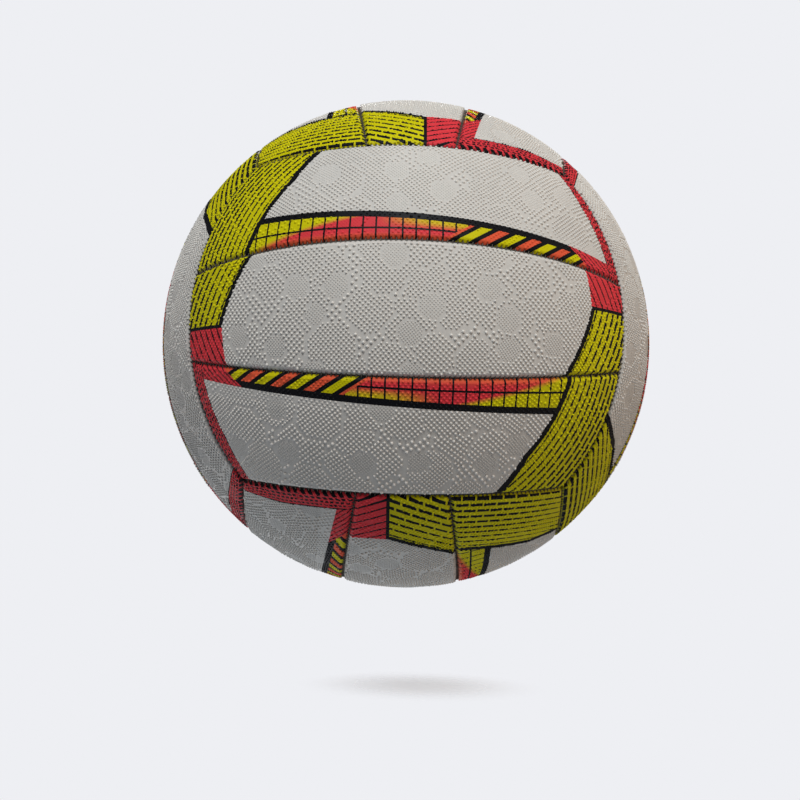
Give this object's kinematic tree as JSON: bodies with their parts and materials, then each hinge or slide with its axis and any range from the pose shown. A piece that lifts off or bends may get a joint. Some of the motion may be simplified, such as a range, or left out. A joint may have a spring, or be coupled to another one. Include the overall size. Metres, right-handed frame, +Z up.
{
  "type": "netball",
  "caption": "Round stitched netball with a pimpled strip-panel cover, fabric linings, a rubber bladder and a needle valve at the back.",
  "frame": {"origin": "the ball's centre", "axes": "+Z up; +Y out of the valve at the middle of the back face; the face that the picture shows looks along -Y; the strips of the front and back faces run along X, of the top and bottom along Y, and of the sides along Z"},
  "size_m": [0.2228, 0.2227, 0.2228],
  "materials": {
    "cover": "matt pimpled rubber, off-white with printed bands",
    "lining": "woven cotton backing",
    "thread": "waxed polyester thread",
    "bladder": "smooth butyl rubber",
    "valve_boot": "moulded butyl rubber",
    "valve_plug": "moulded soft rubber"
  },
  "bodies": {
    "root": {"panel_top_right": "cover", "panel_top_middle": "cover", "panel_top_left": "cover", "panel_bottom_right": "cover", "panel_bottom_middle": "cover", "panel_bottom_left": "cover", "panel_front_lower": "cover", "panel_front_middle": "cover", "panel_front_upper": "cover", "panel_back_lower": "cover", "panel_back_middle": "cover", "panel_back_upper": "cover", "panel_right_back": "cover", "panel_right_middle": "cover", "panel_right_front": "cover", "panel_left_front": "cover", "panel_left_middle": "cover", "panel_left_back": "cover", "lining_top_right": "lining", "lining_top_middle": "lining", "lining_top_left": "lining", "lining_bottom_right": "lining", "lining_bottom_middle": "lining", "lining_bottom_left": "lining", "lining_front_lower": "lining", "lining_front_middle": "lining", "lining_front_upper": "lining", "lining_back_lower": "lining", "lining_back_middle": "lining", "lining_back_upper": "lining", "lining_right_back": "lining", "lining_right_middle": "lining", "lining_right_front": "lining", "lining_left_front": "lining", "lining_left_middle": "lining", "lining_left_back": "lining", "thread_top": "thread", "thread_bottom": "thread", "thread_front": "thread", "thread_back": "thread", "thread_right": "thread", "thread_left": "thread", "bladder": "bladder", "valve_boot": "valve_boot", "valve_plug": "valve_plug"}
  },
  "joints": []
}
